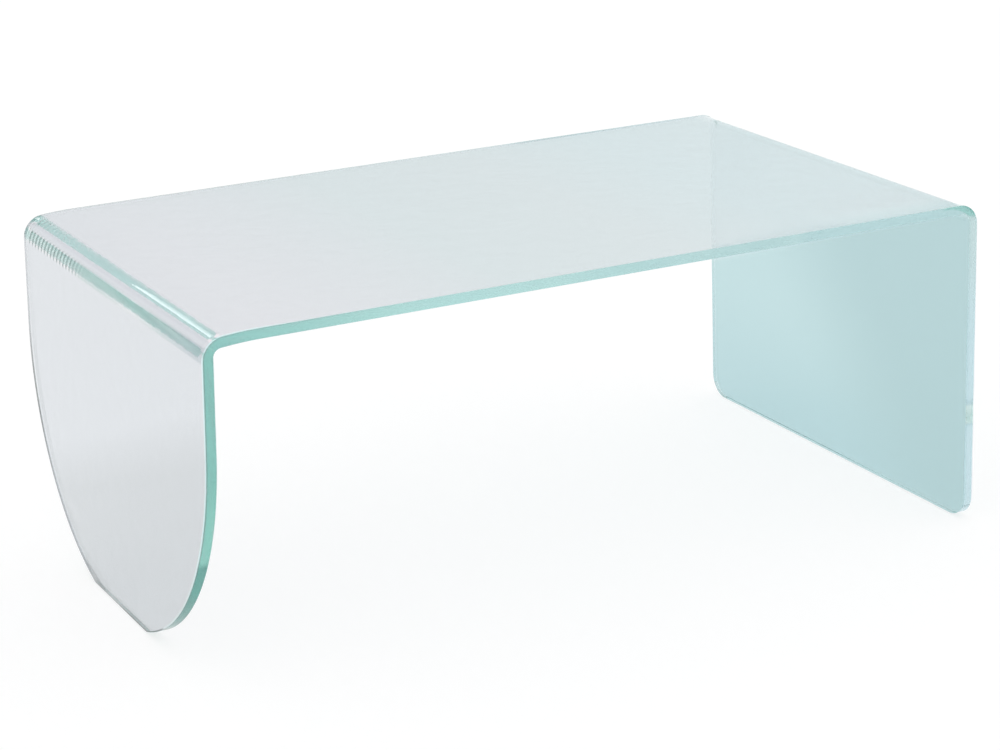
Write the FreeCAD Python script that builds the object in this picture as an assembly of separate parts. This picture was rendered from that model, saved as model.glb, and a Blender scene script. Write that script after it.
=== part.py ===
import FreeCAD, Part

import math
import os

# Waterfall coffee table: one glass sheet bent twice into a top and two legs.
# It stands on clear self-adhesive glide strips under the foot edges.
# Millimetres. +Z is up, +X points to the square-cut leg, and the origin is at the
# centre of the footprint on the floor.

# Driving dimensions: the sheet
TABLE_LENGTH = 1000.0          # over the outer faces of both feet, where they end above the floor
TABLE_WIDTH = 570.0            # along Y
GLASS_HEIGHT = 400.0           # from the foot edges up to the table top
GLASS_THICKNESS = 12.0
BEND_OUTER_RADIUS = 30.0       # on the outside of both bends
BEND_INNER_RADIUS = 10.0       # on the inside, which the mould presses tighter
LEFT_LEG_SPLAY = 1.6           # degrees that the left leg leans outwards
RIGHT_LEG_SPLAY = 0.9          # degrees that the right leg leans outwards
LEFT_FOOT_FLAT = 168.0         # flat edge that cuts off the half-round end of the left leg
LEFT_FOOT_CORNER_RADIUS = 8.0  # softens the corner between that flat and the half round
RIGHT_FOOT_CORNER_RADIUS = 28.5
EDGE_ARRIS = 1.2               # 45 degree arris along every edge of the sheet

# Driving dimensions: the glide strips
PAD_LENGTH = 60.0
PAD_THICKNESS = 1.2
ADHESIVE_THICKNESS = 0.3
PAD_SIDE_CLEARANCE = 0.3       # from the strip's side to the arris of the glass
ADHESIVE_SETBACK = 0.25        # from the strip's outline to the adhesive's outline
RIGHT_PAD_FROM_SIDE = 90.0     # from the side of the table to the middle of a strip

# Sizes that follow
HALF_LENGTH = TABLE_LENGTH / 2
HALF_WIDTH = TABLE_WIDTH / 2
FOOT_Z = PAD_THICKNESS + ADHESIVE_THICKNESS
TOP_Z = FOOT_Z + GLASS_HEIGHT
CUTTER_MARGIN = 20.0           # how far cutting solids stand clear of the glass

# How closely an edge has to fit when it is picked out
PICK_DISTANCE = 0.01
PICK_THICKNESS = 0.1
PICK_DIRECTION = 0.001


class Leg:
    """One leg in the side view: side is -1 for the left leg and +1 for the right one."""

    def __init__(self, side, splay_degrees):
        self.side = side
        self.splay = math.radians(splay_degrees)
        self.slant_thickness = GLASS_THICKNESS / math.cos(self.splay)
        self.foot_outer_x = side * HALF_LENGTH
        self.foot_inner_x = side * (HALF_LENGTH - self.slant_thickness)
        self.outer_bend = self.bend_arc(0.0, BEND_OUTER_RADIUS)
        self.inner_bend = self.bend_arc(GLASS_THICKNESS, BEND_INNER_RADIUS)

    def bend_arc(self, depth, radius):
        """One face's arc from the leg to the top: depth is how far the face lies under the outer one."""
        centre_z = TOP_Z - depth - radius
        inset = (centre_z - FOOT_Z) * math.tan(self.splay) + (depth + radius) / math.cos(self.splay)
        centre_x = self.side * (HALF_LENGTH - inset)
        points = []
        for share in (0.0, 0.5, 1.0):
            angle = self.splay + share * (math.pi / 2 - self.splay)
            x = centre_x + self.side * radius * math.cos(angle)
            points.append(FreeCAD.Vector(x, 0, centre_z + radius * math.sin(angle)))
        return Part.Arc(*points)


def line(start, end):
    return Part.LineSegment(start, end).toShape()


def bent_strip(left, right):
    """The sheet before its legs are shaped: the bent side view, pushed out over the full width."""
    edges = [line(left.outer_bend.EndPoint, right.outer_bend.EndPoint)]
    edges.append(line(left.inner_bend.EndPoint, right.inner_bend.EndPoint))
    for leg in (left, right):
        foot_outer = FreeCAD.Vector(leg.foot_outer_x, 0, FOOT_Z)
        foot_inner = FreeCAD.Vector(leg.foot_inner_x, 0, FOOT_Z)
        edges.append(line(foot_outer, foot_inner))
        edges.append(line(foot_outer, leg.outer_bend.StartPoint))
        edges.append(line(foot_inner, leg.inner_bend.StartPoint))
        edges.append(leg.outer_bend.toShape())
        edges.append(leg.inner_bend.toShape())
    profile = Part.Wire(Part.__sortEdges__(edges))
    strip = Part.Face(profile).extrude(FreeCAD.Vector(0, TABLE_WIDTH, 0))
    strip.translate(FreeCAD.Vector(0, -HALF_WIDTH, 0))
    return strip


def half_round_cutters(leg):
    """The two solids that leave the left leg with a half-round end as wide as the table."""
    centre_z = FOOT_Z + math.sqrt(HALF_WIDTH**2 - (LEFT_FOOT_FLAT / 2) ** 2)
    flat_angle = math.acos(LEFT_FOOT_FLAT / 2 / HALF_WIDTH)
    cutters = []
    for side in (-1, 1):
        shoulder = FreeCAD.Vector(0, side * HALF_WIDTH, centre_z)
        foot = FreeCAD.Vector(0, side * LEFT_FOOT_FLAT / 2, FOOT_Z)
        middle = FreeCAD.Vector(
            0,
            side * HALF_WIDTH * math.cos(flat_angle / 2),
            centre_z - HALF_WIDTH * math.sin(flat_angle / 2),
        )
        outside = side * (HALF_WIDTH + CUTTER_MARGIN)
        corners = [
            foot,
            FreeCAD.Vector(0, foot.y, FOOT_Z - CUTTER_MARGIN),
            FreeCAD.Vector(0, outside, FOOT_Z - CUTTER_MARGIN),
            FreeCAD.Vector(0, outside, centre_z),
            shoulder,
        ]
        edges = [line(a, b) for a, b in zip(corners, corners[1:])]
        edges.append(Part.Arc(shoulder, middle, foot).toShape())
        outline = Part.Wire(Part.__sortEdges__(edges))
        start_x = -HALF_LENGTH - CUTTER_MARGIN
        cutter = Part.Face(outline).extrude(FreeCAD.Vector(leg.outer_bend.EndPoint.x - start_x, 0, 0))
        cutter.translate(FreeCAD.Vector(start_x, 0, 0))
        cutters.append(cutter)
    return cutters


def crosses_thickness(edge):
    """True for a straight edge that runs through the sheet from one face to the other."""
    if not isinstance(edge.Curve, (Part.Line, Part.LineSegment)):
        return False
    direction = edge.tangentAt(edge.FirstParameter)
    return abs(direction.y) < PICK_DISTANCE and abs(edge.Length - GLASS_THICKNESS) < PICK_THICKNESS


def foot_corner_edges(solid, side, from_middle):
    """The edges through the thickness at the two lower corners of one leg."""
    found = []
    for edge in solid.Edges:
        centre = edge.CenterOfMass
        on_foot = abs(centre.z - FOOT_Z) < PICK_DISTANCE and centre.x * side > 0
        at_corner = abs(abs(centre.y) - from_middle) < PICK_DISTANCE
        if on_foot and at_corner and crosses_thickness(edge):
            found.append(edge)
    return found


def is_bend_line(edge):
    """True for the line along Y where a flat face turns into a bend."""
    direction = edge.tangentAt(edge.FirstParameter)
    along_width = abs(direction.y) > 1 - PICK_DIRECTION
    full_width = abs(edge.Length - TABLE_WIDTH) < PICK_DISTANCE
    return along_width and full_width and edge.CenterOfMass.z > FOOT_Z + BEND_OUTER_RADIUS


def make_bent_glass_sheet(left, right):
    sheet = bent_strip(left, right)
    for cutter in half_round_cutters(left):
        sheet = sheet.cut(cutter)
    sheet = Part.Solid(sheet.Solids[0])
    left_corners = foot_corner_edges(sheet, left.side, LEFT_FOOT_FLAT / 2)
    sheet = sheet.makeFillet(LEFT_FOOT_CORNER_RADIUS, left_corners)
    right_corners = foot_corner_edges(sheet, right.side, HALF_WIDTH)
    sheet = sheet.makeFillet(RIGHT_FOOT_CORNER_RADIUS, right_corners)
    rim = [e for e in sheet.Edges if not crosses_thickness(e) and not is_bend_line(e)]
    return sheet.makeChamfer(EDGE_ARRIS, rim).Solids[0]


def round_ended_strip(length, width, thickness):
    """A flat strip along Y with half-round ends, its underside at Z 0."""
    radius = width / 2
    reach = length / 2 - radius
    corners = []
    for x, y in ((radius, -reach), (radius, reach), (-radius, reach), (-radius, -reach)):
        corners.append(FreeCAD.Vector(x, y, 0))
    edges = [
        line(corners[0], corners[1]),
        Part.Arc(corners[1], FreeCAD.Vector(0, length / 2, 0), corners[2]).toShape(),
        line(corners[2], corners[3]),
        Part.Arc(corners[3], FreeCAD.Vector(0, -length / 2, 0), corners[0]).toShape(),
    ]
    return Part.Face(Part.Wire(edges)).extrude(FreeCAD.Vector(0, 0, thickness))


def make_foot_pad(leg, y):
    width = leg.slant_thickness - 2 * (EDGE_ARRIS + PAD_SIDE_CLEARANCE)
    pad = round_ended_strip(PAD_LENGTH, width, PAD_THICKNESS)
    pad.translate(FreeCAD.Vector((leg.foot_outer_x + leg.foot_inner_x) / 2, y, 0))
    return pad


def make_foot_adhesive(leg, y):
    inset = EDGE_ARRIS + PAD_SIDE_CLEARANCE + ADHESIVE_SETBACK
    width = leg.slant_thickness - 2 * inset
    film = round_ended_strip(PAD_LENGTH - 2 * ADHESIVE_SETBACK, width, ADHESIVE_THICKNESS)
    film.translate(FreeCAD.Vector((leg.foot_outer_x + leg.foot_inner_x) / 2, y, PAD_THICKNESS))
    return film


def make_parts():
    left = Leg(-1, LEFT_LEG_SPLAY)
    right = Leg(1, RIGHT_LEG_SPLAY)
    right_pad_y = HALF_WIDTH - RIGHT_PAD_FROM_SIDE
    feet = {
        "left_foot": (left, 0.0),
        "right_front_foot": (right, -right_pad_y),
        "right_rear_foot": (right, right_pad_y),
    }
    parts = {"bent_glass_sheet": make_bent_glass_sheet(left, right)}
    for name, (leg, y) in feet.items():
        parts[name + "_pad"] = make_foot_pad(leg, y)
        parts[name + "_adhesive"] = make_foot_adhesive(leg, y)
    return parts


os.makedirs("parts", exist_ok=True)
for node, shape in make_parts().items():
    box = shape.BoundBox
    print(
        f"{node}: solids {len(shape.Solids)}, valid {shape.isValid()}, volume {shape.Volume:.1f},"
        f" x {box.XMin:.2f}..{box.XMax:.2f}, y {box.YMin:.2f}..{box.YMax:.2f},"
        f" z {box.ZMin:.2f}..{box.ZMax:.2f}"
    )
    shape.exportStep(f"parts/{node}.step")
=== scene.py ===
import math

import bpy
from mathutils import Matrix, Vector


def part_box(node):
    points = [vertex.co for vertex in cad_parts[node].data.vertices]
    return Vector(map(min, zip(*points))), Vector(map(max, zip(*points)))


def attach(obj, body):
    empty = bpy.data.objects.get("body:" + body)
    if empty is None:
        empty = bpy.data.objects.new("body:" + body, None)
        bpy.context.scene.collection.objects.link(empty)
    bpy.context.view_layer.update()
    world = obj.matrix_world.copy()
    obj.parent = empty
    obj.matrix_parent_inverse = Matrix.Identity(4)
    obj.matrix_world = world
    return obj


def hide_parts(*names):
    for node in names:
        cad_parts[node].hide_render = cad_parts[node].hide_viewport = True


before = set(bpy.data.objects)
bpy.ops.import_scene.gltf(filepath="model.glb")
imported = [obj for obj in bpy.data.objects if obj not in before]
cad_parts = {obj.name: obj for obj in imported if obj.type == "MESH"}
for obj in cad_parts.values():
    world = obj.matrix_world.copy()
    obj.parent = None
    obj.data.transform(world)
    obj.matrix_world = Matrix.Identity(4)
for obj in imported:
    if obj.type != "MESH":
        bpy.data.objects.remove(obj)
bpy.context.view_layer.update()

MM = 0.001

# The sheet, in millimetres, as the frame has it
SHEET_LOW, SHEET_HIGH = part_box("bent_glass_sheet")
GLASS = 12.0
BEND_RADIUS = 30.0             # outside of both bends
BEND_INNER_RADIUS = 10.0       # the mould presses the inside of the bends tighter
RIM_RADIUS = 26.5              # the outside of the bends squares up towards the rims
RIM_REACH = 14.0
SAG_ANGLE = math.radians(5.0)  # the hot top sags a little before the left bend
SAG_LENGTH = 40.0
LEFT_SPLAY = math.radians(1.6)
RIGHT_SPLAY = math.radians(0.9)
LEFT_FOOT_FLAT = 168.0
LEFT_FOOT_CORNER = 8.0
RIGHT_FOOT_CORNER = 28.5
ARRIS = 0.4                    # the corner that is left between each face and the polished edge
FAINT_ARRIS = 0.1              # what is left of it inside the right leg
HALF_LENGTH = 499.97
HALF_WIDTH = (SHEET_HIGH[1] - SHEET_LOW[1]) / 2 / MM
FOOT_CLEARANCE = 0.05          # the glass and the film under it must not share a face
FOOT_Z = SHEET_LOW[2] / MM + FOOT_CLEARANCE
TOP_Z = SHEET_HIGH[2] / MM

# Steps of the mesh along each stretch of the outline
BEND_STEPS = 60
SAG_STEPS = 12
HALF_ROUND_STEPS = 72
CORNER_STEPS = 16
RIM_STEPS = 8
LEVEL_RIM = 0.2                # a rim whose normal points less across than this runs level, as at a foot
NEAR, FAR = -1, 1


class Station:
    """A line across the sheet at one place on its way from the left foot to the right one.

    It holds the points on the outer and inner faces, the unit vectors along the sheet and out of it,
    the way inwards for each millimetre of depth, the half width, the outline's outward normal and
    the pull that takes the outer face towards the bend's corner for each millimetre of radius.
    """

    def __init__(
        self, outer, inner, along, out, inward, half_width,
        normal_along=0.0, normal_across=1.0, pull=None,
    ):
        self.outer = outer
        self.inner = inner
        self.along = along
        self.out = out
        self.inward = inward
        self.half_width = half_width
        self.normal_along = normal_along
        self.normal_across = normal_across
        self.pull = pull or Vector((0, 0, 0))
        self.inner_arris = ARRIS if outer.x < 0 else FAINT_ARRIS

    def corner(self, side, depth, setback):
        """A corner of the section: setback is measured in from the outline."""
        if depth > GLASS / 2:
            place = self.inner - self.inward * (GLASS - depth)
        else:
            place = self.outer + self.inward * depth + self.pull * (BEND_RADIUS - RIM_RADIUS)
        place = place - self.along * (self.normal_along * setback)
        return Vector((place.x, side * (self.half_width - self.normal_across * setback), place.z))

    def rim_normal(self, side):
        """The way that the polished edge faces."""
        return self.along * self.normal_along + Vector((0, side * self.normal_across, 0))

    def outer_face(self, inset):
        """A point on the outer face and its normal, inset from the near arris, on a sheet of full width."""
        full = 2 * (HALF_WIDTH - ARRIS)
        near, far = self.corner(NEAR, 0, ARRIS), self.corner(FAR, 0, ARRIS)
        nearer = NEAR if inset < full / 2 else FAR
        # The tightening eases out over RIM_REACH, and the slope is how fast it does at that inset
        t = min(min(inset, full - inset) / RIM_REACH, 1.0)
        tightening = (BEND_RADIUS - RIM_RADIUS) * (1 - t * t * (3 - 2 * t))
        slope = (BEND_RADIUS - RIM_RADIUS) * 6 * t * (1 - t) / RIM_REACH
        flat = self.outer - self.along * (self.normal_along * ARRIS)
        place = Vector((flat.x, near.lerp(far, inset / full).y, flat.z)) + self.pull * tightening
        return place, self.out - Vector((0, nearer * slope * self.pull.dot(self.out), 0))


class Leg:
    """One leg and its bend: side is -1 for the left one and 1 for the right one."""

    def __init__(self, side, splay, sag):
        self.side = side
        self.splay = splay
        self.sag = sag
        self.sag_radius = SAG_LENGTH / sag if sag else 0.0
        drop = self.sag_radius * (1 - math.cos(sag))
        self.bend_z = TOP_Z - drop - BEND_RADIUS * math.cos(sag)
        inset = (self.bend_z - FOOT_Z) * math.tan(splay) + BEND_RADIUS / math.cos(splay)
        self.bend_x = side * (HALF_LENGTH - inset)
        self.top_of_leg = self.bend_z + BEND_RADIUS * math.sin(splay)
        self.out = self.facing(splay)
        self.along = self.running(splay)

    def facing(self, angle):
        """The way out of the sheet at an angle above level."""
        return Vector((self.side * math.cos(angle), 0, math.sin(angle)))

    def running(self, angle):
        """The way along the sheet, towards the right foot, where it faces at that angle."""
        return Vector((math.sin(angle), 0, -self.side * math.cos(angle)))

    def station(self, z, half_width, normal_up, normal_across):
        """A line across the leg at height z. The foot edge is level, so the section shears towards it."""
        outer = Vector((self.side * (HALF_LENGTH - (z - FOOT_Z) * math.tan(self.splay)), 0, z))
        level = (self.top_of_leg - z) / (self.top_of_leg - FOOT_Z)
        up = self.along * -self.side
        inward = up * (math.tan(self.splay) * level) - self.out
        inner = outer + inward * GLASS
        return Station(
            outer, inner, self.along, self.out, inward, half_width,
            normal_up * -self.side, normal_across,
        )

    def bend_stations(self):
        """Lines across the bend from the leg to the top, each face on an arc of its own, then the sag."""
        centre = Vector((self.bend_x, 0, self.bend_z))
        end = math.pi / 2 - self.sag
        first, last = self.facing(self.splay), self.facing(end)
        to_corner = (first + last) / (1 + first.dot(last))
        inner_centre = centre + to_corner * (BEND_RADIUS - GLASS - BEND_INNER_RADIUS)
        for i in range(BEND_STEPS + 1):
            angle = self.splay + (end - self.splay) * i / BEND_STEPS
            out = self.facing(angle)
            outer = centre + out * BEND_RADIUS
            inner = inner_centre + out * BEND_INNER_RADIUS
            yield Station(outer, inner, self.running(angle), out, -out, HALF_WIDTH, pull=to_corner - out)
        if self.sag:
            sag_centre = centre + last * (BEND_RADIUS - self.sag_radius)
            for i in range(1, SAG_STEPS + 1):
                angle = end + self.sag * i / SAG_STEPS
                out = self.facing(angle)
                outer = sag_centre + out * self.sag_radius
                yield Station(outer, outer - out * GLASS, self.running(angle), out, -out, HALF_WIDTH)


def left_leg_stations(leg):
    """The left leg from its flat foot edge up: corner blend, half round, straight sides."""
    drop = math.sqrt(HALF_WIDTH**2 - (LEFT_FOOT_FLAT / 2) ** 2)
    centre_z = FOOT_Z + drop
    blend_z = FOOT_Z + LEFT_FOOT_CORNER
    blend_y = math.sqrt((HALF_WIDTH - LEFT_FOOT_CORNER) ** 2 - (centre_z - blend_z) ** 2)
    meet = math.atan2(centre_z - blend_z, blend_y)
    for i in range(CORNER_STEPS):
        angle = math.pi / 2 + (meet - math.pi / 2) * i / CORNER_STEPS
        across, up = math.cos(angle), -math.sin(angle)
        yield leg.station(blend_z + LEFT_FOOT_CORNER * up, blend_y + LEFT_FOOT_CORNER * across, up, across)
    for i in range(HALF_ROUND_STEPS + 1):
        angle = meet * (1 - i / HALF_ROUND_STEPS)
        across, up = math.cos(angle), -math.sin(angle)
        yield leg.station(centre_z + HALF_WIDTH * up, HALF_WIDTH * across, up, across)


def right_leg_stations(leg):
    """The right leg from its straight sides down: rounded corner, flat foot edge."""
    for i in range(CORNER_STEPS + 1):
        angle = math.pi / 2 * i / CORNER_STEPS
        across, up = math.cos(angle), -math.sin(angle)
        z = FOOT_Z + RIGHT_FOOT_CORNER * (1 + up)
        yield leg.station(z, HALF_WIDTH - RIGHT_FOOT_CORNER * (1 - across), up, across)


class SheetMesh:
    """Gathers the corners, faces, true normals and edge work of the sheet."""

    def __init__(self):
        self.points = []
        self.faces = []
        self.normals = []
        self.polished = []         # 1 on the flat polished edge
        self.arrised = []          # 1 on the arris beside it
        self.depths = []           # 0 on the outer face, 1 on the inner one
        self.margins = {NEAR: [], FAR: []}     # how far in from each rim, on the outer face

    def place(self, point, depth, near_margin=RIM_REACH, far_margin=RIM_REACH):
        self.points.append(point * MM)
        self.depths.append(depth / GLASS)
        self.margins[NEAR].append(min(near_margin, RIM_REACH) * MM)
        self.margins[FAR].append(min(far_margin, RIM_REACH) * MM)
        return len(self.points) - 1

    def face(self, corners, normals, flip=False, polished=0.0, arrised=0.0):
        if flip:
            corners, normals = corners[::-1], normals[::-1]
        self.faces.append(corners)
        self.normals.extend(n.normalized() for n in normals)
        self.polished.append(polished)
        self.arrised.append(arrised)

    def build(self, name):
        mesh = bpy.data.meshes.new(name)
        mesh.from_pydata(self.points, [], self.faces)
        of_faces = {"polished_edge": self.polished, "arris": self.arrised}
        of_points = {
            "depth": self.depths,
            "near_margin": self.margins[NEAR],
            "far_margin": self.margins[FAR],
        }
        for domain, layers in (("FACE", of_faces), ("POINT", of_points)):
            for label, values in layers.items():
                mesh.attributes.new(label, "FLOAT", domain).data.foreach_set("value", values)
        mesh.shade_smooth()
        mesh.normals_split_custom_set(self.normals)
        return mesh


def lay_outer_face(sheet, stations):
    """The outer face, with extra lines near the rims where its bends tighten. Returns its rows of points."""
    near_insets = [RIM_REACH * i / RIM_STEPS for i in range(RIM_STEPS + 1)]
    insets = near_insets + [2 * (HALF_WIDTH - ARRIS) - inset for inset in reversed(near_insets)]
    rows, row_normals = [], []
    for station in stations:
        spots = [station.outer_face(inset) for inset in insets]
        across = station.normal_across if station.normal_across > LEVEL_RIM else RIM_REACH
        rows.append([
            sheet.place(spot, 0, inset * across, (insets[-1] - inset) * across)
            for inset, (spot, _) in zip(insets, spots)
        ])
        row_normals.append([normal for _, normal in spots])
    return rows, row_normals


def lay_faces(sheet, stations, outer, outer_normals, inner):
    """Joins each line across the sheet to the next one, on both faces."""
    for i in range(len(stations) - 1):
        j = i + 1
        for k in range(len(outer[i]) - 1):
            corners = [outer[i][k], outer[j][k], outer[j][k + 1], outer[i][k + 1]]
            normals = [
                outer_normals[i][k], outer_normals[j][k],
                outer_normals[j][k + 1], outer_normals[i][k + 1],
            ]
            sheet.face(corners, normals)
        a, b = -stations[i].out, -stations[j].out
        sheet.face([inner[i][0], inner[j][0], inner[j][1], inner[i][1]], [a, b, b, a], flip=True)


def lay_rims(sheet, stations, outer, high, low, inner):
    """Goes once round the sheet with an arris, the flat polished edge and the other arris."""
    rings = [
        {NEAR: [row[0] for row in outer], FAR: [row[-1] for row in outer]},
        high,
        low,
        {NEAR: [row[0] for row in inner], FAR: [row[1] for row in inner]},
    ]
    count = len(stations)
    loop = [(NEAR, i) for i in range(count)] + [(FAR, i) for i in reversed(range(count))]
    for (side_a, i), (side_b, j) in zip(loop, loop[1:] + loop[:1]):
        for ring, lean in ((0, 1), (1, 0), (2, -1)):
            a = stations[i].rim_normal(side_a) + stations[i].out * lean
            b = stations[j].rim_normal(side_b) + stations[j].out * lean
            upper, lower = rings[ring], rings[ring + 1]
            corners = [upper[side_a][i], lower[side_a][i], lower[side_b][j], upper[side_b][j]]
            normals = [a, a, b, b]
            if i == j and ring == 0:
                between = outer[i][1:-1] if side_a == FAR else outer[i][-2:0:-1]
                corners += between
                normals += [a] * len(between)
            edge_work = {"polished": 1.0} if lean == 0 else {"arrised": 1.0}
            sheet.face(corners, normals, **edge_work)


def make_glass_sheet():
    """The bent sheet as one closed mesh with flat polished edges and an arris all round."""
    left, right = Leg(-1, LEFT_SPLAY, SAG_ANGLE), Leg(1, RIGHT_SPLAY, 0.0)
    stations = [*left_leg_stations(left), *left.bend_stations()]
    stations += [*reversed(list(right.bend_stations())), *right_leg_stations(right)]
    sheet = SheetMesh()
    outer, outer_normals = lay_outer_face(sheet, stations)
    inner = [
        [sheet.place(s.corner(side, GLASS, s.inner_arris), GLASS) for side in (NEAR, FAR)]
        for s in stations
    ]
    high, low = {}, {}
    for side in (NEAR, FAR):
        high[side] = [sheet.place(s.corner(side, ARRIS, 0), ARRIS) for s in stations]
        low[side] = [
            sheet.place(s.corner(side, GLASS - s.inner_arris, 0), GLASS - s.inner_arris)
            for s in stations
        ]
    lay_faces(sheet, stations, outer, outer_normals, inner)
    lay_rims(sheet, stations, outer, high, low, inner)
    piece = bpy.data.objects.new("glass_sheet", sheet.build("glass_sheet"))
    bpy.context.scene.collection.objects.link(piece)
    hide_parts("bent_glass_sheet")
    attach(piece, "root")
    return piece


# The colour sockets of a Mix node
COLOUR_A, COLOUR_B, COLOUR_OUT = 6, 7, 2


class NodeWork:
    """Short ways to place and join the nodes of one tree.

    A run is (where a stretch has not begun, where it is whole). The axes are the values that a zone's
    runs are along, under the names that the zone uses.
    """

    def __init__(self, tree):
        self.nodes = tree.nodes
        self.links = tree.links
        self.axes = {}

    def new(self, kind, **settings):
        node = self.nodes.new(kind)
        for name, value in settings.items():
            setattr(node, name, value)
        return node

    def fill(self, socket, value):
        """Gives a socket a number or a colour, or joins it to another node."""
        if isinstance(value, tuple):
            socket.default_value = (*value, 1)
        elif isinstance(value, float):
            socket.default_value = value
        else:
            self.links.new(value, socket)

    def ramp(self, value, stops):
        """A colour ramp fed by value: stops are (position, colour)."""
        node = self.new("ShaderNodeValToRGB")
        elements = node.color_ramp.elements
        while len(elements) > len(stops):
            elements.remove(elements[-1])
        for i, (position, colour) in enumerate(stops):
            element = elements[i] if i < len(elements) else elements.new(position)
            element.position = position
            element.color = (*colour, 1)
        self.links.new(value, node.inputs["Fac"])
        return node.outputs["Color"]

    def straight(self, value, run, **settings):
        """0 where the run begins and 1 where it ends, in a straight line, held at the ends."""
        node = self.new("ShaderNodeMapRange", **settings)
        node.inputs["From Min"].default_value, node.inputs["From Max"].default_value = run
        self.links.new(value, node.inputs["Value"])
        return node.outputs["Result"]

    def span(self, value, run):
        """The same, eased at both ends."""
        return self.straight(value, run, interpolation_type="SMOOTHSTEP")

    def mix(self, factor, a, b, blend="MIX"):
        """Mixes two colours."""
        node = self.new("ShaderNodeMix", data_type="RGBA", blend_type=blend)
        for socket, value in (("Factor", factor), (COLOUR_A, a), (COLOUR_B, b)):
            self.fill(node.inputs[socket], value)
        return node.outputs[COLOUR_OUT]

    def tint(self, a, b):
        """One colour cast by another."""
        return self.mix(1.0, a, b, "MULTIPLY")

    def reckon(self, operation, *values):
        """A sum of one kind on one, two or three values."""
        node = self.new("ShaderNodeMath", operation=operation)
        for socket, value in zip(node.inputs, values):
            self.fill(socket, value)
        return node.outputs[0]

    def times(self, *values):
        """The product of masks."""
        result = values[0]
        for value in values[1:]:
            result = self.reckon("MULTIPLY", result, value)
        return result

    def leaning(self, across, value, slope):
        """The value, raised by slope for each metre across."""
        return self.reckon("MULTIPLY_ADD", across, slope, value)

    def zone(self, runs):
        """1 inside the zone, 0 outside it, eased over its run along each axis."""
        return self.times(*(self.span(self.axes[axis], run) for axis, run in runs.items()))


def new_material(name):
    """A node material with only its output, which the caller fills."""
    material = bpy.data.materials.new(name)
    material.use_nodes = True
    material.node_tree.nodes.clear()
    work = NodeWork(material.node_tree)
    return material, work, work.new("ShaderNodeOutputMaterial")


# The glass. A cast is what a way in and out through a stretch of the sheet leaves of white light: each
# of the two crossings takes its square root. The casts are painted light and shade, laid over the green
# that the glass's body gives: the lighter and darker stretches, the bands, rib reflections, fine lines
# and spots stand for the reflections, refraction and light turned inside the sheet. A zone says where
# the stretch is: along each axis, in metres, from where it has not begun to where it is whole. The axes
# are x, y and z, and depth from 0 on the outer face to 1 on the inner one.
WHITE = (1, 1, 1)
NEAR_HALF = {"y": (0.02, -0.02)}
FAR_HALF = {"y": (-0.02, 0.02)}
ALONG = (-0.5, 0.5)                    # the whole length and width of the table
ACROSS = (-0.285, 0.285)

# The left leg's faces, with painted shade
LEFT_SHADE_SLOPE = 0.38                # its painted shade runs up and towards the far side
LEFT_SHADE = (0.10, 0.40)
LEFT_SHADE_CASTS = (
    (0.08, (0.615, 0.645, 0.67)),
    (0.33, (0.70, 0.73, 0.765)),
    (0.9, (0.69, 0.72, 0.755)),
)
# Painted shade inside the bend, and the bend's painted bands of light and shade, which stand for its
# refraction
INNER_BEND = {"x": (-0.482, -0.479), "z": (0.374, 0.378)}
INNER_BEND_CAST = (0.605, 0.63, 0.68)
LOWER_BAND = {"x": (-0.4835, -0.4850), "z": (0.370, 0.374)}
LOWER_BAND_CASTS = (                   # from the near side to the far one
    (0.06, (0.40, 0.47, 0.51)),
    (0.22, (0.475, 0.60, 0.59)),
    (0.37, (0.78, 0.81, 0.81)),
    (0.54, (0.46, 0.60, 0.575)),
)
UPPER_BAND = {"z": (0.3932, 0.3944)}
UPPER_BAND_CAST = (1.0, 0.87, 0.93)

# Painted rib reflections: light and dark lines towards the far rim, for light turned between the bend's faces
RIB_REFLECTION_SPACING = 0.01085
RIB_REFLECTION_PLACE = 0.2805                     # the last one before the rim
RIB_REFLECTION_EDGE = (-0.8, 0.8)
RIB_PAINTED_LIGHT = (1.0, 1.0, 1.0)
RIB_PAINTED_SHADE = (0.165, 0.235, 0.225)
RIB_REFLECTIONS_BEGIN = {"y": (0.06, 0.13)}
RIB_REFLECTIONS_END = {"y": (0.266, 0.276)}
UPPER_RIB_REFLECTIONS = {"y": (0.20, 0.26)}
UPPER_RIB_REFLECTIONS_SHARE = 0.5

# The top, with painted shade and painted light
TOP_ALONG = {"x": (-0.46, 0.46)}
TOP_CASTS = (
    (0.0, (0.665, 0.695, 0.735)),
    (0.3, (0.60, 0.695, 0.715)),
    (0.65, (0.60, 0.695, 0.715)),
    (0.9, (0.58, 0.71, 0.735)),
)
TOP_NEAR_RIGHT = {"y": (-0.1, -0.24), "x": (0.25, 0.40)}
TOP_NEAR_RIGHT_CAST = (0.575, 0.69, 0.715)
TOP_RIGHT_EDGE = {"y": (-0.22, -0.275), "x": (0.27, 0.36)}
TOP_RIGHT_EDGE_CAST = (0.63, 0.78, 0.80)
TOP_NEAR_SHARE = (1.03, 1.01, 1.01)    # painted shade: it darkens a little from the near side to the far one
TOP_FAR_SHARE = (0.95, 0.955, 0.96)
TOP_CORNER_SLOPE = -1.454              # painted light: the near right corner is lighter, as far as a slanting line
PAST_TOP_CORNER = (-0.593, -0.444)
TOP_CORNER_CAST = (0.752, 0.858, 0.874)

# The right leg's faces, with painted shade and painted light
RIGHT_FAR_FOOT = {"z": (0.0, 0.2)}
RIGHT_FAR_FOOT_CAST = (0.475, 0.675, 0.705)
RIGHT_FAR_CAST = (0.525, 0.72, 0.74)
RIGHT_NEAR_CAST = (0.445, 0.63, 0.65)
RIGHT_PALE_SLOPE = -1.33               # painted light: it pales downwards and towards the far side
RIGHT_PALE = (0.39, -0.01)
RIGHT_UPPER_SLOPE = 0.35               # painted light: above this slanting line it is lighter still
RIGHT_UPPER = (0.288, 0.312)
RIGHT_UPPER_CAST = (0.70, 0.836, 0.853)
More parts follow.
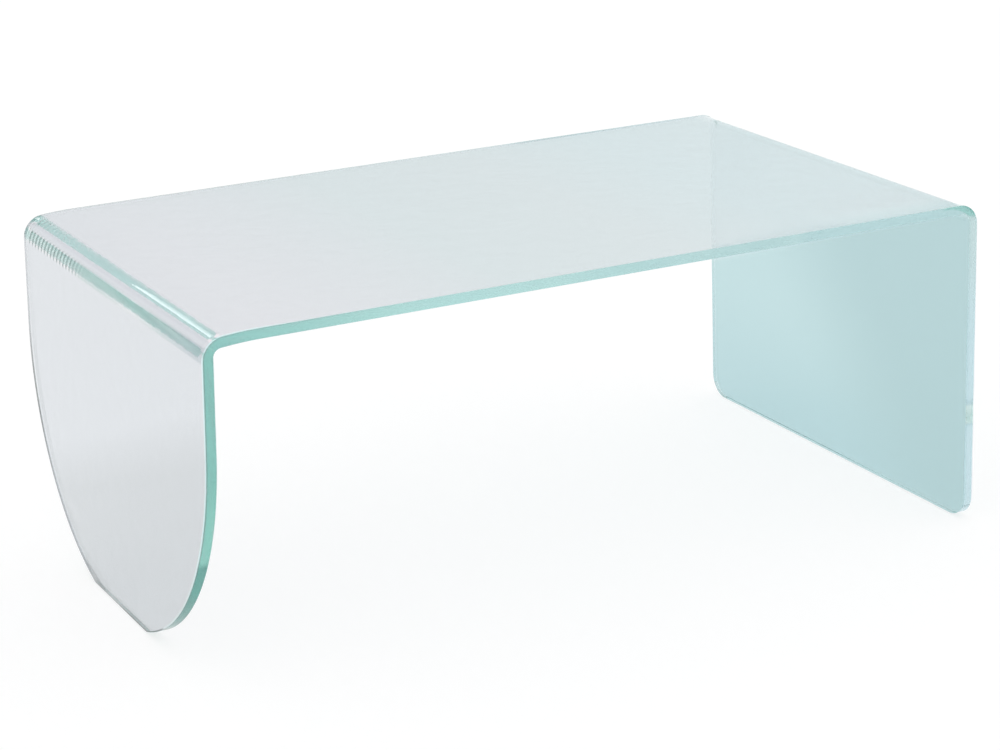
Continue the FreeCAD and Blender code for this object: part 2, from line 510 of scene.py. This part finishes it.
# Painted light towards the far side of the leg's upper part
RIGHT_PAINTED_LIGHT = {"y": (0.12, 0.28)}
RIGHT_PAINTED_LIGHT_CAST = (0.92, 0.95, 0.96)

# Where the left leg, the top and the right leg meet
TOP_BEGINS = {"x": (-0.4685, -0.4660)}
RIGHT_BEGINS_INSIDE = {"depth": (0.4, 0.6), "x": (0.450, 0.478)}
RIGHT_BEGINS_OUTSIDE = {"x": (0.484, 0.493)}

# The polished edge, with painted shade and painted light: along the top, then down the left leg, then down
# the right one
RIM_CASTS = (
    (0.10, (0.28, 0.57, 0.54)),
    (0.236, (0.48, 0.73, 0.70)),
    (0.48, (0.54, 0.76, 0.775)),
    (0.61, (0.59, 0.775, 0.765)),
    (0.72, (0.50, 0.685, 0.69)),
    (0.77, (0.54, 0.705, 0.74)),
    (0.90, (0.56, 0.71, 0.75)),
    (0.95, (0.66, 0.79, 0.82)),
)
RIM_NEAR_RIGHT = {"x": (0.238, 0.256), **NEAR_HALF}
RIM_NEAR_RIGHT_CAST = (0.325, 0.525, 0.565)
RIM_LEFT = {"x": (-0.47, -0.48)}
RIM_LEFT_CAST = (0.28, 0.58, 0.53)
RIM_LEFT_LOW = {"z": (0.26, 0.19), **NEAR_HALF}
RIM_LEFT_LOW_CAST = (0.60, 1.0, 0.88)
RIM_LEFT_FOOT = {"z": (0.147, 0.133)}
RIM_LEFT_FOOT_CASTS = (                # up from the foot's end
    (0.02, (0.03, 0.12, 0.10)),
    (0.06, (0.05, 0.19, 0.165)),
    (0.085, (0.08, 0.28, 0.24)),
    (0.10, (0.098, 0.39, 0.33)),
    (0.125, (0.135, 0.39, 0.345)),
)
RIM_FAR_CORNER = {"x": (-0.445, -0.455), "z": (0.28, 0.32), **FAR_HALF}
RIM_FAR_CORNER_CAST = (0.88, 0.94, 0.95)
RIM_RIGHT = {"x": (0.468, 0.478)}
RIM_RIGHT_CAST = (0.46, 0.58, 0.61)
RIM_RIGHT_FOOT = {"z": (0.37, 0.22)}
RIM_RIGHT_FOOT_CAST = (0.50, 0.66, 0.77)
RIM_RIGHT_INSIDE = {"depth": (0.55, 1.0)}
RIM_RIGHT_INSIDE_SHARE = (0.80, 0.90, 0.90)
RIM_TURNED_LIGHT_FROM = (0.1235, 0.1285)       # painted light here, for the light that the far rounded corner turns
RIM_TURNED_LIGHT_TO = (0.1505, 0.1478)
RIM_TURNED_LIGHT_CAST = (0.90, 1.0, 1.0)
RIM_RIGHT_FAR_CAST = (0.95, 0.97, 0.98)
RIM_MARGIN_SHARES = (                  # painted shade: how its left darkens beside its arrises, from outer to inner
    (0.10, (0.68, 0.50, 0.54)),
    (0.17, WHITE),
    (0.86, WHITE),
    (0.93, (0.90, 0.84, 0.86)),
)
MARGINS_HALVE = {"x": (-0.48, -0.44)}
MARGINS_END = {"x": (-0.42, -0.20)}
HALF = 0.5

# A painted dark reflection at the near corner of the right bend, outside a circle in the side view
CORNER_SPOT = (0.450, 0.0, 0.351)
CORNER_SPOT_REACH = (0.0467, 0.0482)
CORNER_SPOT_EDGE = (0.0525, 0.0550)
CORNER_SPOT_LIMITS = {"x": (0.440, 0.450), "z": (0.382, 0.389), **NEAR_HALF}
CORNER_PAINTED_REFLECTION = (0.15, 0.40, 0.37)
CORNER_PAINTED_REFLECTION_EDGE = (0.06, 0.25, 0.22)

# The arris, painted with shade up to the right bend and clear from the right bend on
ARRIS_PAINTED_SHADE = (0.70, 0.75, 0.77)
ARRIS_CLEARS = {"x": (0.44, 0.46)}

# Painted light and painted shade: fine light and dark lines along the outer face beside its rims, where
# the edges catch and turn light. A width is measured in from the rim.
LINE_SOFTNESS = 0.0004
LINE_NEAR_WIDTH = 0.0034
LINE_NEAR_LIMITS = {"x": (-0.38, -0.44)}
LINE_NEAR_RISE = {"z": (0.10, 0.16)}
LINE_NEAR_CAST = (0.72, 1.0, 1.0)
LINE_NEAR_LOW_CAST = (0.67, 0.81, 0.80)
LINE_CORNER = {"z": (0.030, 0.022)}
LINE_CORNER_CAST = (0.05, 0.06, 0.06)
LINE_FAR_WIDTH = 0.0068
LINE_FAR_LIMITS = {"x": (-0.46, -0.47)}
LINE_FAR_CASTS = (                     # up the leg
    (0.08, (0.25, 0.27, 0.28)),
    (0.15, (0.07, 0.08, 0.08)),
    (0.22, (0.07, 0.08, 0.08)),
    (0.30, (0.45, 0.46, 0.48)),
)
LINE_LIGHT_WIDTH = 0.0105              # a painted light line beside the painted dark one
LINE_LIGHT_FROM = {"z": (0.05, 0.14)}
LINE_LIGHT_TO = {"z": (0.29, 0.22)}
LINE_LIGHT_CAST = (0.95, 0.98, 1.0)
LINE_TOP_WIDTH = 0.0035
LINE_TOP_FROM = {"x": (-0.475, -0.465)}
LINE_TOP_TO = {"x": (0.05, -0.25)}
LINE_TOP_CAST = (0.46, 0.50, 0.50)
LINE_FOOT = {"z": (0.0042, 0.0033), "x": (0.1, 0.0)}
LINE_FOOT_FAR = {"y": (-0.03, 0.01)}
LINE_FOOT_CAST = (0.22, 0.24, 0.24)

# Its surface and body
RIM_ROUGHNESS = 0.11
POLISH_SCALE = 60.0
POLISH_SHARES = (0.8, 1.2)
GROUND_CORNER = {"x": (0.46, 0.47), "z": (0.019, 0.016), "y": (0.250, 0.254)}
GROUND_ROUGHNESS = (0.88, 0.88, 0.88)  # the far rounded corner of the right foot is ground, not polished
WAVE_LENGTH = 0.035
WAVE_DEPTH = 0.00003
GLASS_IOR = 1.52
GLASS_BODY = (0.38, 0.76, 0.71)
GLASS_BODY_DENSITY = 0.5

# The soft strips: their gloss and their skin vary more finely than their tint
FINER_GLOSS = 2
FINER_SKIN = 3

# The shared mottle: the values of its noise that become the lowest and highest ones
MOTTLE_DETAIL = 2.0
MOTTLE_LEVELS = (0.35, 0.65)


def painted_rib_reflections(work):
    """1 on each painted rib reflection, 0 between them."""
    turns = work.reckon(
        "MULTIPLY_ADD", work.axes["y"], 2 * math.pi / RIB_REFLECTION_SPACING, -2 * math.pi * RIB_REFLECTION_PLACE / RIB_REFLECTION_SPACING
    )
    return work.span(work.reckon("COSINE", turns), RIB_REFLECTION_EDGE)


def painted_shading_of_left_leg(work):
    """The left leg's faces with painted shade, and the painted bands and rib reflections of its bend."""
    y, z = work.axes["y"], work.axes["z"]
    left = work.ramp(work.span(work.leaning(y, z, LEFT_SHADE_SLOPE), LEFT_SHADE), LEFT_SHADE_CASTS)
    left = work.mix(work.zone(INNER_BEND), left, INNER_BEND_CAST)
    rib_reflections = work.mix(painted_rib_reflections(work), RIB_PAINTED_SHADE, RIB_PAINTED_LIGHT)
    rib_reflections = work.mix(work.zone(RIB_REFLECTIONS_END), rib_reflections, RIB_PAINTED_LIGHT)
    lower = work.ramp(work.straight(y, ACROSS), LOWER_BAND_CASTS)
    lower = work.mix(work.zone(RIB_REFLECTIONS_BEGIN), lower, rib_reflections)
    left = work.mix(work.zone(LOWER_BAND), left, lower)
    faint = work.times(work.zone(UPPER_RIB_REFLECTIONS), UPPER_RIB_REFLECTIONS_SHARE)
    upper = work.mix(faint, UPPER_BAND_CAST, rib_reflections)
    return work.mix(work.zone(UPPER_BAND), left, upper)


def painted_shading_of_top(work):
    """The top's faces, with painted shade and painted light."""
    x, y = work.axes["x"], work.axes["y"]
    top = work.ramp(work.zone(TOP_ALONG), TOP_CASTS)
    top = work.mix(work.zone(TOP_NEAR_RIGHT), top, TOP_NEAR_RIGHT_CAST)
    top = work.mix(work.zone(TOP_RIGHT_EDGE), top, TOP_RIGHT_EDGE_CAST)
    top = work.tint(top, work.mix(work.straight(y, ACROSS), TOP_NEAR_SHARE, TOP_FAR_SHARE))
    past_corner = work.span(work.leaning(x, y, TOP_CORNER_SLOPE), PAST_TOP_CORNER)
    lifted = work.mix(past_corner, TOP_CORNER_CAST, RIGHT_PAINTED_LIGHT_CAST)
    return work.tint(top, work.mix(1.0, RIGHT_PAINTED_LIGHT_CAST, lifted, "DIVIDE"))


def painted_shading_of_right_leg(work):
    """The right leg's faces, with painted shade and painted light."""
    y, z = work.axes["y"], work.axes["z"]
    far = work.mix(work.zone(RIGHT_FAR_FOOT), RIGHT_FAR_FOOT_CAST, RIGHT_FAR_CAST)
    paler = work.span(work.leaning(y, z, RIGHT_PALE_SLOPE), RIGHT_PALE)
    right = work.mix(paler, RIGHT_NEAR_CAST, far)
    upper = work.mix(work.zone(RIGHT_PAINTED_LIGHT), RIGHT_UPPER_CAST, RIGHT_PAINTED_LIGHT_CAST)
    return work.mix(work.span(work.leaning(y, z, RIGHT_UPPER_SLOPE), RIGHT_UPPER), right, upper)


def painted_shading_of_faces(work):
    """The painted light and shade of the two faces, from the left foot over the top to the right foot."""
    from_right = work.reckon("MAXIMUM", work.zone(RIGHT_BEGINS_INSIDE), work.zone(RIGHT_BEGINS_OUTSIDE))
    left_and_top = work.mix(work.zone(TOP_BEGINS), painted_shading_of_left_leg(work), painted_shading_of_top(work))
    return work.mix(from_right, left_and_top, painted_shading_of_right_leg(work))


def painted_shading_of_right_rim(work):
    """The right leg's polished edge, with painted shade and painted light."""
    right = work.mix(work.zone(RIM_RIGHT_FOOT), RIM_RIGHT_CAST, RIM_RIGHT_FOOT_CAST)
    right = work.tint(right, work.mix(work.zone(RIM_RIGHT_INSIDE), WHITE, RIM_RIGHT_INSIDE_SHARE))
    z = work.axes["z"]
    turned = work.times(work.span(z, RIM_TURNED_LIGHT_FROM), work.span(z, RIM_TURNED_LIGHT_TO))
    right = work.mix(turned, right, RIM_TURNED_LIGHT_CAST)
    return work.mix(work.zone(FAR_HALF), right, RIM_RIGHT_FAR_CAST)


def painted_shading_of_rim(work):
    """The painted shade and light of the polished edge, whose painted shade is deepest at the left foot."""
    x, z = work.axes["x"], work.axes["z"]
    rim = work.ramp(work.straight(x, ALONG), RIM_CASTS)
    left = work.mix(work.zone(RIM_LEFT_LOW), RIM_LEFT_CAST, RIM_LEFT_LOW_CAST)
    left = work.mix(work.zone(RIM_LEFT_FOOT), left, work.ramp(z, RIM_LEFT_FOOT_CASTS))
    rim = work.mix(work.zone(RIM_LEFT), rim, left)
    rim = work.mix(work.zone(RIM_NEAR_RIGHT), rim, RIM_NEAR_RIGHT_CAST)
    rim = work.mix(work.zone(RIM_FAR_CORNER), rim, RIM_FAR_CORNER_CAST)
    rim = work.mix(work.zone(RIM_RIGHT), rim, painted_shading_of_right_rim(work))

    margins = work.ramp(work.axes["depth"], RIM_MARGIN_SHARES)
    margins = work.mix(work.times(work.zone(MARGINS_HALVE), HALF), margins, WHITE)
    margins = work.mix(work.zone(MARGINS_END), margins, WHITE)
    rim = work.tint(rim, margins)

    # The painted dark reflection at the near corner of the right bend
    side_view = work.new("ShaderNodeCombineXYZ")
    work.fill(side_view.inputs["X"], x)
    work.fill(side_view.inputs["Z"], z)
    away = work.new("ShaderNodeVectorMath", operation="DISTANCE")
    away.inputs[1].default_value = CORNER_SPOT
    work.fill(away.inputs[0], side_view.outputs[0])
    away = away.outputs["Value"]
    spot = work.mix(work.span(away, CORNER_SPOT_EDGE), CORNER_PAINTED_REFLECTION, CORNER_PAINTED_REFLECTION_EDGE)
    limits = [work.span(work.axes[axis], run) for axis, run in CORNER_SPOT_LIMITS.items()]
    at_spot = work.times(work.span(away, CORNER_SPOT_REACH), *limits)
    return work.mix(at_spot, rim, spot)


def with_painted_lines(work, colour):
    """The outer face's colour with the painted light and dark lines beside its rims."""
    def beside(margin, width):
        return work.span(work.axes[margin], (width + LINE_SOFTNESS, width - LINE_SOFTNESS))

    near = work.mix(work.zone(LINE_NEAR_RISE), LINE_NEAR_LOW_CAST, LINE_NEAR_CAST)
    near = work.mix(work.zone(LINE_CORNER), near, LINE_CORNER_CAST)
    on_near = work.times(beside("near_margin", LINE_NEAR_WIDTH), work.zone(LINE_NEAR_LIMITS))
    colour = work.mix(on_near, colour, near)

    on_leg = work.zone(LINE_FAR_LIMITS)
    part = work.times(work.zone(LINE_LIGHT_FROM), work.zone(LINE_LIGHT_TO))
    on_light = work.times(beside("far_margin", LINE_LIGHT_WIDTH), on_leg, part)
    colour = work.mix(on_light, colour, LINE_LIGHT_CAST)
    on_far = work.times(beside("far_margin", LINE_FAR_WIDTH), on_leg)
    colour = work.mix(on_far, colour, work.ramp(work.axes["z"], LINE_FAR_CASTS))
    on_top = work.times(
        beside("far_margin", LINE_TOP_WIDTH), work.zone(LINE_TOP_FROM), work.zone(LINE_TOP_TO)
    )
    colour = work.mix(on_top, colour, LINE_TOP_CAST)

    foot = work.mix(work.zone(LINE_FOOT_FAR), LINE_CORNER_CAST, LINE_FOOT_CAST)
    return work.mix(work.zone(LINE_FOOT), colour, foot)


def make_mottle():
    """A shared effect: a soft mottle between two values, finer or coarser with its scale."""
    tree = bpy.data.node_groups.new("soft_mottle", "ShaderNodeTree")
    tree.interface.new_socket("Place", in_out="INPUT", socket_type="NodeSocketVector")
    for name in ("Scale", "Low", "High"):
        tree.interface.new_socket(name, in_out="INPUT", socket_type="NodeSocketFloat")
    tree.interface.new_socket("Value", in_out="OUTPUT", socket_type="NodeSocketFloat")
    work = NodeWork(tree)
    given, result = work.new("NodeGroupInput"), work.new("NodeGroupOutput")
    noise, level = work.new("ShaderNodeTexNoise"), work.new("ShaderNodeMapRange")
    noise.inputs["Detail"].default_value = MOTTLE_DETAIL
    level.inputs["From Min"].default_value, level.inputs["From Max"].default_value = MOTTLE_LEVELS
    work.fill(noise.inputs["Vector"], given.outputs["Place"])
    work.fill(noise.inputs["Scale"], given.outputs["Scale"])
    work.fill(level.inputs["To Min"], given.outputs["Low"])
    work.fill(level.inputs["To Max"], given.outputs["High"])
    work.fill(level.inputs["Value"], noise.outputs["Fac"])
    work.fill(result.inputs["Value"], level.outputs["Result"])
    return tree


MOTTLE = make_mottle()


def mottle(work, place, scale, low, high):
    """Places the shared mottle in a material, with its own values."""
    node = work.new("ShaderNodeGroup", node_tree=MOTTLE)
    work.fill(node.inputs["Place"], place)
    for name, value in (("Scale", scale), ("Low", low), ("High", high)):
        node.inputs[name].default_value = value
    return node.outputs["Value"]


def bumped(work, height, depth):
    """The normal of a surface with that height, as deep as that."""
    node = work.new("ShaderNodeBump")
    node.inputs["Distance"].default_value = depth
    work.fill(node.inputs["Height"], height)
    return node.outputs["Normal"]


def make_clear_glass():
    """The sheet's clear glass: green by its body, with its painted light and shade, its polish and a faint
    waviness.
    """
    material, work, output = new_material("clear_float_glass")
    place = work.new("ShaderNodeTexCoord").outputs["Object"]
    where = work.new("ShaderNodeSeparateXYZ")
    work.fill(where.inputs[0], place)
    work.axes = dict(zip("xyz", where.outputs))
    for label in ("depth", "near_margin", "far_margin", "polished_edge", "arris"):
        work.axes[label] = work.new("ShaderNodeAttribute", attribute_name=label).outputs["Fac"]
    colour = work.mix(work.axes["polished_edge"], with_painted_lines(work, painted_shading_of_faces(work)), painted_shading_of_rim(work))
    # Painted shade on the arris, up to the right bend
    colour = work.mix(work.axes["arris"], colour, work.mix(work.zone(ARRIS_CLEARS), ARRIS_PAINTED_SHADE, WHITE))
    low, high = (share * RIM_ROUGHNESS for share in POLISH_SHARES)
    polish = mottle(work, place, POLISH_SCALE, low, high)
    polish = work.mix(work.zone(GROUND_CORNER), polish, GROUND_ROUGHNESS)
    waves = mottle(work, place, 1 / WAVE_LENGTH, 0.0, 1.0)

    shader = work.new("ShaderNodeBsdfPrincipled")
    work.fill(shader.inputs["Base Color"], colour)
    work.fill(shader.inputs["Roughness"], work.times(work.axes["polished_edge"], polish))
    work.fill(shader.inputs["Normal"], bumped(work, waves, WAVE_DEPTH))
    shader.inputs["IOR"].default_value = GLASS_IOR
    shader.inputs["Transmission Weight"].default_value = 1.0
    body = work.new("ShaderNodeVolumeAbsorption")
    work.fill(body.inputs["Color"], GLASS_BODY)
    body.inputs["Density"].default_value = GLASS_BODY_DENSITY
    work.fill(output.inputs["Surface"], shader.outputs[0])
    work.fill(output.inputs["Volume"], body.outputs[0])
    return material


def make_soft_strip(name, tints, grain, roughness, grain_depth, ior):
    """A clear soft strip: its tint, gloss and skin all vary with the same mottle at the size of its grain."""
    material, work, output = new_material(name)
    place = work.new("ShaderNodeTexCoord").outputs["Object"]
    shader = work.new("ShaderNodeBsdfPrincipled")
    tint = work.ramp(mottle(work, place, 1 / grain, 0.0, 1.0), list(zip((0.0, 1.0), tints)))
    work.fill(shader.inputs["Base Color"], tint)
    work.fill(shader.inputs["Roughness"], mottle(work, place, FINER_GLOSS / grain, *roughness))
    skin = mottle(work, place, FINER_SKIN / grain, 0.0, 1.0)
    work.fill(shader.inputs["Normal"], bumped(work, skin, grain_depth))
    shader.inputs["IOR"].default_value = ior
    shader.inputs["Transmission Weight"].default_value = 1.0
    work.fill(output.inputs["Surface"], shader.outputs[0])
    return material


def make_foot_pad():
    return make_soft_strip(
        "clear_foot_pad",
        tints=((0.90, 0.92, 0.92), (0.98, 0.98, 0.98)),
        grain=0.004,
        roughness=(0.08, 0.2),
        grain_depth=0.00002,
        ior=1.43,
    )


def make_foot_adhesive():
    return make_soft_strip(
        "clear_adhesive_film",
        tints=((0.93, 0.94, 0.92), (0.99, 0.99, 0.98)),
        grain=0.0015,
        roughness=(0.02, 0.12),
        grain_depth=0.00001,
        ior=1.47,
    )


def dress(node, material):
    """Gives a carried-over CAD node one material."""
    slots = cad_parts[node].data.materials
    slots.clear()
    slots.append(material)


# Camera, in metres, radians and pixels
CAMERA_PLACE = Vector((-1.42059, -2.71940, 1.21710))
CAMERA_YAW = 0.48180
CAMERA_PITCH = 0.32185
CAMERA_ROLL = -0.02503
FOCAL_PIXELS = 2668.0
PICTURE_WIDTH = 1000.0
SENSOR = 36.0


def make_camera():
    data = bpy.data.cameras.new("camera")
    data.sensor_width = SENSOR
    data.lens = SENSOR * FOCAL_PIXELS / PICTURE_WIDTH
    camera = bpy.data.objects.new("camera", data)
    bpy.context.scene.collection.objects.link(camera)
    ahead = Vector((
        math.sin(CAMERA_YAW) * math.cos(CAMERA_PITCH),
        math.cos(CAMERA_YAW) * math.cos(CAMERA_PITCH),
        -math.sin(CAMERA_PITCH),
    ))
    right = Vector((math.cos(CAMERA_YAW), -math.sin(CAMERA_YAW), 0))
    up = right.cross(ahead)
    turned_right = right * math.cos(CAMERA_ROLL) + up * math.sin(CAMERA_ROLL)
    turned_up = up * math.cos(CAMERA_ROLL) - right * math.sin(CAMERA_ROLL)
    turn = Matrix((turned_right, turned_up, -ahead)).transposed()
    camera.matrix_world = Matrix.Translation(CAMERA_PLACE) @ turn.to_4x4()
    bpy.context.scene.camera = camera


# The studio, in metres
STUDIO_LIGHT = 1.0
FLOOR_REACH = 40.0
FLOOR_COLOUR = (0.30, 0.30, 0.30)
FLOOR_GLOW = 0.72              # what the camera, mirrors and glass see on top of the lit floor
SOFTBOX_WIDTH = 0.46
SOFTBOX_HEIGHT = 0.34
SOFTBOX_RADIANCE = 3.0
SOFTBOX_FALL = (0.0, 0.8)      # it is brightest along one side
SOFTBOX_PLACE = Vector((-0.52, 2.5, 1.80))
SOFTBOX_TARGET = Vector((-0.47, -0.17, 0.39))
SOFTBOX_TURN = math.radians(-13)
BOUNCES = 1024                 # light turns many times inside the sheet before it leaves it


def make_floor():
    """A plain floor that takes shadow and looks near white straight on, in gloss and through glass."""
    mesh = bpy.data.meshes.new("floor")
    corners = [(-1, -1, 0), (1, -1, 0), (1, 1, 0), (-1, 1, 0)]
    mesh.from_pydata([Vector(corner) * FLOOR_REACH for corner in corners], [], [(0, 1, 2, 3)])
    floor = bpy.data.objects.new("floor", mesh)
    bpy.context.scene.collection.objects.link(floor)
    material, work, output = new_material("pale_floor")
    diffuse = work.new("ShaderNodeBsdfDiffuse")
    work.fill(diffuse.inputs["Color"], FLOOR_COLOUR)
    path = work.new("ShaderNodeLightPath").outputs
    seen = work.reckon("MAXIMUM", path["Is Camera Ray"], path["Is Glossy Ray"])
    seen = work.reckon("MAXIMUM", seen, path["Is Transmission Ray"])
    glow = work.new("ShaderNodeEmission")
    work.fill(glow.inputs["Strength"], work.times(seen, FLOOR_GLOW))
    add = work.new("ShaderNodeAddShader")
    work.fill(add.inputs[0], diffuse.outputs[0])
    work.fill(add.inputs[1], glow.outputs[0])
    work.fill(output.inputs["Surface"], add.outputs[0])
    mesh.materials.append(material)


def make_world():
    """Even white light from all round."""
    world = bpy.data.worlds.new("studio")
    bpy.context.scene.world = world
    world.use_nodes = True
    work = NodeWork(world.node_tree)
    background = work.nodes["Background"]
    work.fill(background.inputs["Color"], WHITE)
    work.fill(background.inputs["Strength"], STUDIO_LIGHT)


def make_lamp():
    """A softbox behind the table, which the left bend mirrors as a long gleam."""
    data = bpy.data.lights.new("softbox", "AREA")
    data.shape = "RECTANGLE"
    data.size = SOFTBOX_WIDTH
    data.size_y = SOFTBOX_HEIGHT
    data.energy = SOFTBOX_RADIANCE * math.pi * data.size * data.size_y
    data.use_nodes = True
    work = NodeWork(data.node_tree)
    across = work.new("ShaderNodeSeparateXYZ")
    work.fill(across.inputs[0], work.new("ShaderNodeNewGeometry").outputs["Parametric"])
    work.fill(work.nodes["Emission"].inputs["Strength"], work.straight(across.outputs[0], SOFTBOX_FALL))
    lamp = bpy.data.objects.new("softbox", data)
    bpy.context.scene.collection.objects.link(lamp)
    aim = (SOFTBOX_PLACE - SOFTBOX_TARGET).to_track_quat("Z", "Y").to_matrix().to_4x4()
    lamp.matrix_world = Matrix.Translation(SOFTBOX_PLACE) @ aim @ Matrix.Rotation(SOFTBOX_TURN, 4, "Z")
    lamp.visible_camera = False
    lamp.visible_diffuse = False
    lamp.visible_transmission = False


glass_sheet = make_glass_sheet()
glass_sheet.data.materials.append(make_clear_glass())
foot_pad, foot_adhesive = make_foot_pad(), make_foot_adhesive()
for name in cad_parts:
    if name.endswith("_pad"):
        dress(name, foot_pad)
    elif name.endswith("_adhesive"):
        dress(name, foot_adhesive)
make_camera()
make_floor()
make_world()
make_lamp()
scene = bpy.context.scene
scene.view_settings.view_transform = "Standard"
scene.cycles.blur_glossy = 0.0
scene.cycles.max_bounces = BOUNCES
scene.cycles.transmission_bounces = BOUNCES
scene.cycles.glossy_bounces = BOUNCES
